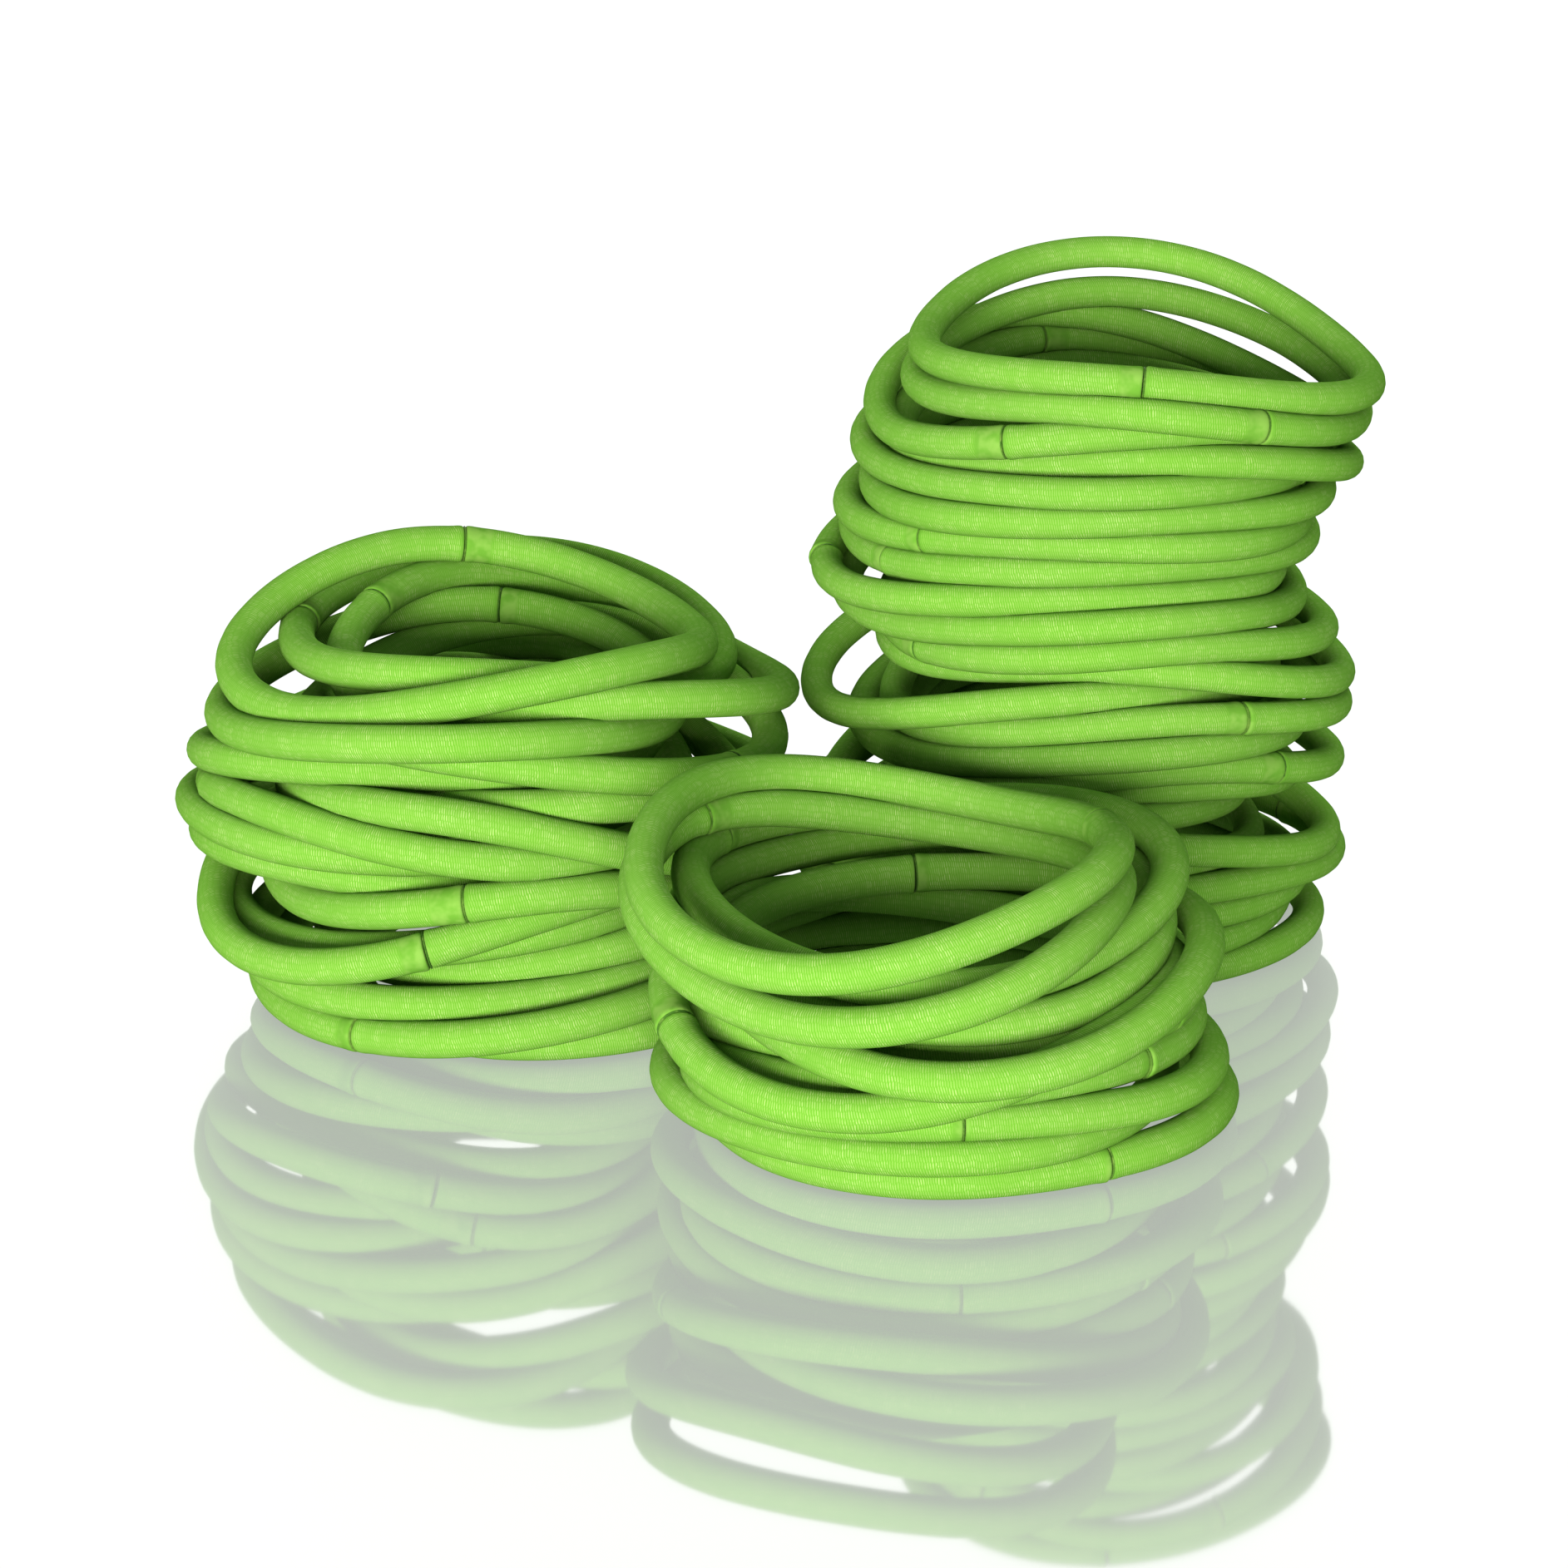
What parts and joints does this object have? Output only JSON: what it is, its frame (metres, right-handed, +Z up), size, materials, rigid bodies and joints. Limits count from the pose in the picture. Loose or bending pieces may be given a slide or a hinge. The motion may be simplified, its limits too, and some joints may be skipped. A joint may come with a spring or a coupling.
{
  "type": "elastic cord band set",
  "caption": "Round textile-covered elastic cord bands with bonded ends, lying in three loose stacks.",
  "frame": {"origin": "middle of the set's footprint, on the surface that the stacks stand on", "axes": "+Z up out of the surface, the direction in which each band lifts off; +X across the set, from the left stack to the right one; +Y from the lowest stack towards the two behind it"},
  "size_m": [0.1324, 0.114, 0.0742],
  "materials": {
    "braided_cover": "ribbed textile cover with a soft silky shine, bright yellow-green",
    "rubber_core": "smooth natural rubber, off-white",
    "bond": "cured clear adhesive over pressed cover ends, olive green"
  },
  "bodies": {
    "root": {"front_band_01": "braided_cover", "left_band_01": "braided_cover", "right_band_01": "braided_cover"},
    "front_band_02": {"front_band_02": "braided_cover"},
    "front_band_03": {"front_band_03": "braided_cover"},
    "front_band_04": {"front_band_04": "braided_cover"},
    "front_band_05": {"front_band_05": "braided_cover"},
    "front_band_06": {"front_band_06": "braided_cover"},
    "front_band_07": {"front_band_07": "braided_cover"},
    "front_band_08": {"front_band_08": "braided_cover"},
    "front_band_09": {"front_band_09": "braided_cover"},
    "front_band_10": {"front_band_10": "braided_cover"},
    "front_band_11": {"front_band_11_cover": "braided_cover", "front_band_11_core": "rubber_core", "front_band_11_bond": "bond"},
    "left_band_02": {"left_band_02": "braided_cover"},
    "left_band_03": {"left_band_03": "braided_cover"},
    "left_band_04": {"left_band_04": "braided_cover"},
    "left_band_05": {"left_band_05": "braided_cover"},
    "left_band_06": {"left_band_06": "braided_cover"},
    "left_band_07": {"left_band_07": "braided_cover"},
    "left_band_08": {"left_band_08": "braided_cover"},
    "left_band_09": {"left_band_09": "braided_cover"},
    "left_band_10": {"left_band_10": "braided_cover"},
    "left_band_11": {"left_band_11": "braided_cover"},
    "left_band_12": {"left_band_12": "braided_cover"},
    "left_band_13": {"left_band_13": "braided_cover"},
    "left_band_14": {"left_band_14": "braided_cover"},
    "left_band_15": {"left_band_15": "braided_cover"},
    "left_band_16": {"left_band_16": "braided_cover"},
    "left_band_17": {"left_band_17": "braided_cover"},
    "left_band_18": {"left_band_18_cover": "braided_cover", "left_band_18_core": "rubber_core", "left_band_18_bond": "bond"},
    "right_band_02": {"right_band_02": "braided_cover"},
    "right_band_03": {"right_band_03": "braided_cover"},
    "right_band_04": {"right_band_04": "braided_cover"},
    "right_band_05": {"right_band_05": "braided_cover"},
    "right_band_06": {"right_band_06": "braided_cover"},
    "right_band_07": {"right_band_07": "braided_cover"},
    "right_band_08": {"right_band_08": "braided_cover"},
    "right_band_09": {"right_band_09": "braided_cover"},
    "right_band_10": {"right_band_10": "braided_cover"},
    "right_band_11": {"right_band_11": "braided_cover"},
    "right_band_12": {"right_band_12": "braided_cover"},
    "right_band_13": {"right_band_13": "braided_cover"},
    "right_band_14": {"right_band_14": "braided_cover"},
    "right_band_15": {"right_band_15": "braided_cover"},
    "right_band_16": {"right_band_16": "braided_cover"},
    "right_band_17": {"right_band_17": "braided_cover"},
    "right_band_18": {"right_band_18": "braided_cover"},
    "right_band_19": {"right_band_19": "braided_cover"},
    "right_band_20": {"right_band_20": "braided_cover"},
    "right_band_21": {"right_band_21": "braided_cover"},
    "right_band_22": {"right_band_22": "braided_cover"},
    "right_band_23": {"right_band_23": "braided_cover"},
    "right_band_24": {"right_band_24_cover": "braided_cover", "right_band_24_core": "rubber_core", "right_band_24_bond": "bond"}
  },
  "joints": [
    {"name": "front_band_02_lift", "type": "slide", "parent": "root", "child": "front_band_02", "axis": [0, 0, 1], "range_m": [0, 0.006]},
    {"name": "front_band_03_lift", "type": "slide", "parent": "root", "child": "front_band_03", "axis": [0, 0, 1], "range_m": [0, 0.012]},
    {"name": "front_band_04_lift", "type": "slide", "parent": "root", "child": "front_band_04", "axis": [0, 0, 1], "range_m": [0, 0.018]},
    {"name": "front_band_05_lift", "type": "slide", "parent": "root", "child": "front_band_05", "axis": [0, 0, 1], "range_m": [0, 0.024]},
    {"name": "front_band_06_lift", "type": "slide", "parent": "root", "child": "front_band_06", "axis": [0, 0, 1], "range_m": [0, 0.03]},
    {"name": "front_band_07_lift", "type": "slide", "parent": "root", "child": "front_band_07", "axis": [0, 0, 1], "range_m": [0, 0.036]},
    {"name": "front_band_08_lift", "type": "slide", "parent": "root", "child": "front_band_08", "axis": [0, 0, 1], "range_m": [0, 0.042]},
    {"name": "front_band_09_lift", "type": "slide", "parent": "root", "child": "front_band_09", "axis": [0, 0, 1], "range_m": [0, 0.048]},
    {"name": "front_band_10_lift", "type": "slide", "parent": "root", "child": "front_band_10", "axis": [0, 0, 1], "range_m": [0, 0.054]},
    {"name": "front_band_11_lift", "type": "slide", "parent": "front_band_10", "child": "front_band_11", "axis": [0, 0, 1], "range_m": [0, 0.03]},
    {"name": "left_band_02_lift", "type": "slide", "parent": "root", "child": "left_band_02", "axis": [0, 0, 1], "range_m": [0, 0.006]},
    {"name": "left_band_03_lift", "type": "slide", "parent": "root", "child": "left_band_03", "axis": [0, 0, 1], "range_m": [0, 0.012]},
    {"name": "left_band_04_lift", "type": "slide", "parent": "root", "child": "left_band_04", "axis": [0, 0, 1], "range_m": [0, 0.018]},
    {"name": "left_band_05_lift", "type": "slide", "parent": "root", "child": "left_band_05", "axis": [0, 0, 1], "range_m": [0, 0.024]},
    {"name": "left_band_06_lift", "type": "slide", "parent": "root", "child": "left_band_06", "axis": [0, 0, 1], "range_m": [0, 0.03]},
    {"name": "left_band_07_lift", "type": "slide", "parent": "root", "child": "left_band_07", "axis": [0, 0, 1], "range_m": [0, 0.036]},
    {"name": "left_band_08_lift", "type": "slide", "parent": "root", "child": "left_band_08", "axis": [0, 0, 1], "range_m": [0, 0.042]},
    {"name": "left_band_09_lift", "type": "slide", "parent": "root", "child": "left_band_09", "axis": [0, 0, 1], "range_m": [0, 0.048]},
    {"name": "left_band_10_lift", "type": "slide", "parent": "root", "child": "left_band_10", "axis": [0, 0, 1], "range_m": [0, 0.054]},
    {"name": "left_band_11_lift", "type": "slide", "parent": "root", "child": "left_band_11", "axis": [0, 0, 1], "range_m": [0, 0.06]},
    {"name": "left_band_12_lift", "type": "slide", "parent": "root", "child": "left_band_12", "axis": [0, 0, 1], "range_m": [0, 0.066]},
    {"name": "left_band_13_lift", "type": "slide", "parent": "root", "child": "left_band_13", "axis": [0, 0, 1], "range_m": [0, 0.072]},
    {"name": "left_band_14_lift", "type": "slide", "parent": "root", "child": "left_band_14", "axis": [0, 0, 1], "range_m": [0, 0.078]},
    {"name": "left_band_15_lift", "type": "slide", "parent": "root", "child": "left_band_15", "axis": [0, 0, 1], "range_m": [0, 0.084]},
    {"name": "left_band_16_lift", "type": "slide", "parent": "root", "child": "left_band_16", "axis": [0, 0, 1], "range_m": [0, 0.09]},
    {"name": "left_band_17_lift", "type": "slide", "parent": "root", "child": "left_band_17", "axis": [0, 0, 1], "range_m": [0, 0.096]},
    {"name": "left_band_18_lift", "type": "slide", "parent": "left_band_17", "child": "left_band_18", "axis": [0, 0, 1], "range_m": [0, 0.03]},
    {"name": "right_band_02_lift", "type": "slide", "parent": "root", "child": "right_band_02", "axis": [0, 0, 1], "range_m": [0, 0.005]},
    {"name": "right_band_03_lift", "type": "slide", "parent": "root", "child": "right_band_03", "axis": [0, 0, 1], "range_m": [0, 0.01]},
    {"name": "right_band_04_lift", "type": "slide", "parent": "root", "child": "right_band_04", "axis": [0, 0, 1], "range_m": [0, 0.015]},
    {"name": "right_band_05_lift", "type": "slide", "parent": "root", "child": "right_band_05", "axis": [0, 0, 1], "range_m": [0, 0.02]},
    {"name": "right_band_06_lift", "type": "slide", "parent": "root", "child": "right_band_06", "axis": [0, 0, 1], "range_m": [0, 0.025]},
    {"name": "right_band_07_lift", "type": "slide", "parent": "root", "child": "right_band_07", "axis": [0, 0, 1], "range_m": [0, 0.03]},
    {"name": "right_band_08_lift", "type": "slide", "parent": "root", "child": "right_band_08", "axis": [0, 0, 1], "range_m": [0, 0.035]},
    {"name": "right_band_09_lift", "type": "slide", "parent": "root", "child": "right_band_09", "axis": [0, 0, 1], "range_m": [0, 0.04]},
    {"name": "right_band_10_lift", "type": "slide", "parent": "root", "child": "right_band_10", "axis": [0, 0, 1], "range_m": [0, 0.045]},
    {"name": "right_band_11_lift", "type": "slide", "parent": "root", "child": "right_band_11", "axis": [0, 0, 1], "range_m": [0, 0.05]},
    {"name": "right_band_12_lift", "type": "slide", "parent": "root", "child": "right_band_12", "axis": [0, 0, 1], "range_m": [0, 0.055]},
    {"name": "right_band_13_lift", "type": "slide", "parent": "root", "child": "right_band_13", "axis": [0, 0, 1], "range_m": [0, 0.06]},
    {"name": "right_band_14_lift", "type": "slide", "parent": "root", "child": "right_band_14", "axis": [0, 0, 1], "range_m": [0, 0.065]},
    {"name": "right_band_15_lift", "type": "slide", "parent": "root", "child": "right_band_15", "axis": [0, 0, 1], "range_m": [0, 0.07]},
    {"name": "right_band_16_lift", "type": "slide", "parent": "root", "child": "right_band_16", "axis": [0, 0, 1], "range_m": [0, 0.075]},
    {"name": "right_band_17_lift", "type": "slide", "parent": "root", "child": "right_band_17", "axis": [0, 0, 1], "range_m": [0, 0.08]},
    {"name": "right_band_18_lift", "type": "slide", "parent": "root", "child": "right_band_18", "axis": [0, 0, 1], "range_m": [0, 0.085]},
    {"name": "right_band_19_lift", "type": "slide", "parent": "root", "child": "right_band_19", "axis": [0, 0, 1], "range_m": [0, 0.09]},
    {"name": "right_band_20_lift", "type": "slide", "parent": "root", "child": "right_band_20", "axis": [0, 0, 1], "range_m": [0, 0.095]},
    {"name": "right_band_21_lift", "type": "slide", "parent": "root", "child": "right_band_21", "axis": [0, 0, 1], "range_m": [0, 0.1]},
    {"name": "right_band_22_lift", "type": "slide", "parent": "root", "child": "right_band_22", "axis": [0, 0, 1], "range_m": [0, 0.105]},
    {"name": "right_band_23_lift", "type": "slide", "parent": "root", "child": "right_band_23", "axis": [0, 0, 1], "range_m": [0, 0.11]},
    {"name": "right_band_24_lift", "type": "slide", "parent": "right_band_23", "child": "right_band_24", "axis": [0, 0, 1], "range_m": [0, 0.03]}
  ],
  "couplings": [
    {"joint": "front_band_02_lift", "follows": "front_band_10_lift", "ratio": 0.11111},
    {"joint": "front_band_03_lift", "follows": "front_band_10_lift", "ratio": 0.22222},
    {"joint": "front_band_04_lift", "follows": "front_band_10_lift", "ratio": 0.33333},
    {"joint": "front_band_05_lift", "follows": "front_band_10_lift", "ratio": 0.44444},
    {"joint": "front_band_06_lift", "follows": "front_band_10_lift", "ratio": 0.55556},
    {"joint": "front_band_07_lift", "follows": "front_band_10_lift", "ratio": 0.66667},
    {"joint": "front_band_08_lift", "follows": "front_band_10_lift", "ratio": 0.77778},
    {"joint": "front_band_09_lift", "follows": "front_band_10_lift", "ratio": 0.88889},
    {"joint": "left_band_02_lift", "follows": "left_band_17_lift", "ratio": 0.0625},
    {"joint": "left_band_03_lift", "follows": "left_band_17_lift", "ratio": 0.125},
    {"joint": "left_band_04_lift", "follows": "left_band_17_lift", "ratio": 0.1875},
    {"joint": "left_band_05_lift", "follows": "left_band_17_lift", "ratio": 0.25},
    {"joint": "left_band_06_lift", "follows": "left_band_17_lift", "ratio": 0.3125},
    {"joint": "left_band_07_lift", "follows": "left_band_17_lift", "ratio": 0.375},
    {"joint": "left_band_08_lift", "follows": "left_band_17_lift", "ratio": 0.4375},
    {"joint": "left_band_09_lift", "follows": "left_band_17_lift", "ratio": 0.5},
    {"joint": "left_band_10_lift", "follows": "left_band_17_lift", "ratio": 0.5625},
    {"joint": "left_band_11_lift", "follows": "left_band_17_lift", "ratio": 0.625},
    {"joint": "left_band_12_lift", "follows": "left_band_17_lift", "ratio": 0.6875},
    {"joint": "left_band_13_lift", "follows": "left_band_17_lift", "ratio": 0.75},
    {"joint": "left_band_14_lift", "follows": "left_band_17_lift", "ratio": 0.8125},
    {"joint": "left_band_15_lift", "follows": "left_band_17_lift", "ratio": 0.875},
    {"joint": "left_band_16_lift", "follows": "left_band_17_lift", "ratio": 0.9375},
    {"joint": "right_band_02_lift", "follows": "right_band_23_lift", "ratio": 0.045455},
    {"joint": "right_band_03_lift", "follows": "right_band_23_lift", "ratio": 0.090909},
    {"joint": "right_band_04_lift", "follows": "right_band_23_lift", "ratio": 0.13636},
    {"joint": "right_band_05_lift", "follows": "right_band_23_lift", "ratio": 0.18182},
    {"joint": "right_band_06_lift", "follows": "right_band_23_lift", "ratio": 0.22727},
    {"joint": "right_band_07_lift", "follows": "right_band_23_lift", "ratio": 0.27273},
    {"joint": "right_band_08_lift", "follows": "right_band_23_lift", "ratio": 0.31818},
    {"joint": "right_band_09_lift", "follows": "right_band_23_lift", "ratio": 0.36364},
    {"joint": "right_band_10_lift", "follows": "right_band_23_lift", "ratio": 0.40909},
    {"joint": "right_band_11_lift", "follows": "right_band_23_lift", "ratio": 0.45454},
    {"joint": "right_band_12_lift", "follows": "right_band_23_lift", "ratio": 0.5},
    {"joint": "right_band_13_lift", "follows": "right_band_23_lift", "ratio": 0.54546},
    {"joint": "right_band_14_lift", "follows": "right_band_23_lift", "ratio": 0.59091},
    {"joint": "right_band_15_lift", "follows": "right_band_23_lift", "ratio": 0.63636},
    {"joint": "right_band_16_lift", "follows": "right_band_23_lift", "ratio": 0.68182},
    {"joint": "right_band_17_lift", "follows": "right_band_23_lift", "ratio": 0.72727},
    {"joint": "right_band_18_lift", "follows": "right_band_23_lift", "ratio": 0.77273},
    {"joint": "right_band_19_lift", "follows": "right_band_23_lift", "ratio": 0.81818},
    {"joint": "right_band_20_lift", "follows": "right_band_23_lift", "ratio": 0.86364},
    {"joint": "right_band_21_lift", "follows": "right_band_23_lift", "ratio": 0.90909},
    {"joint": "right_band_22_lift", "follows": "right_band_23_lift", "ratio": 0.95454}
  ]
}
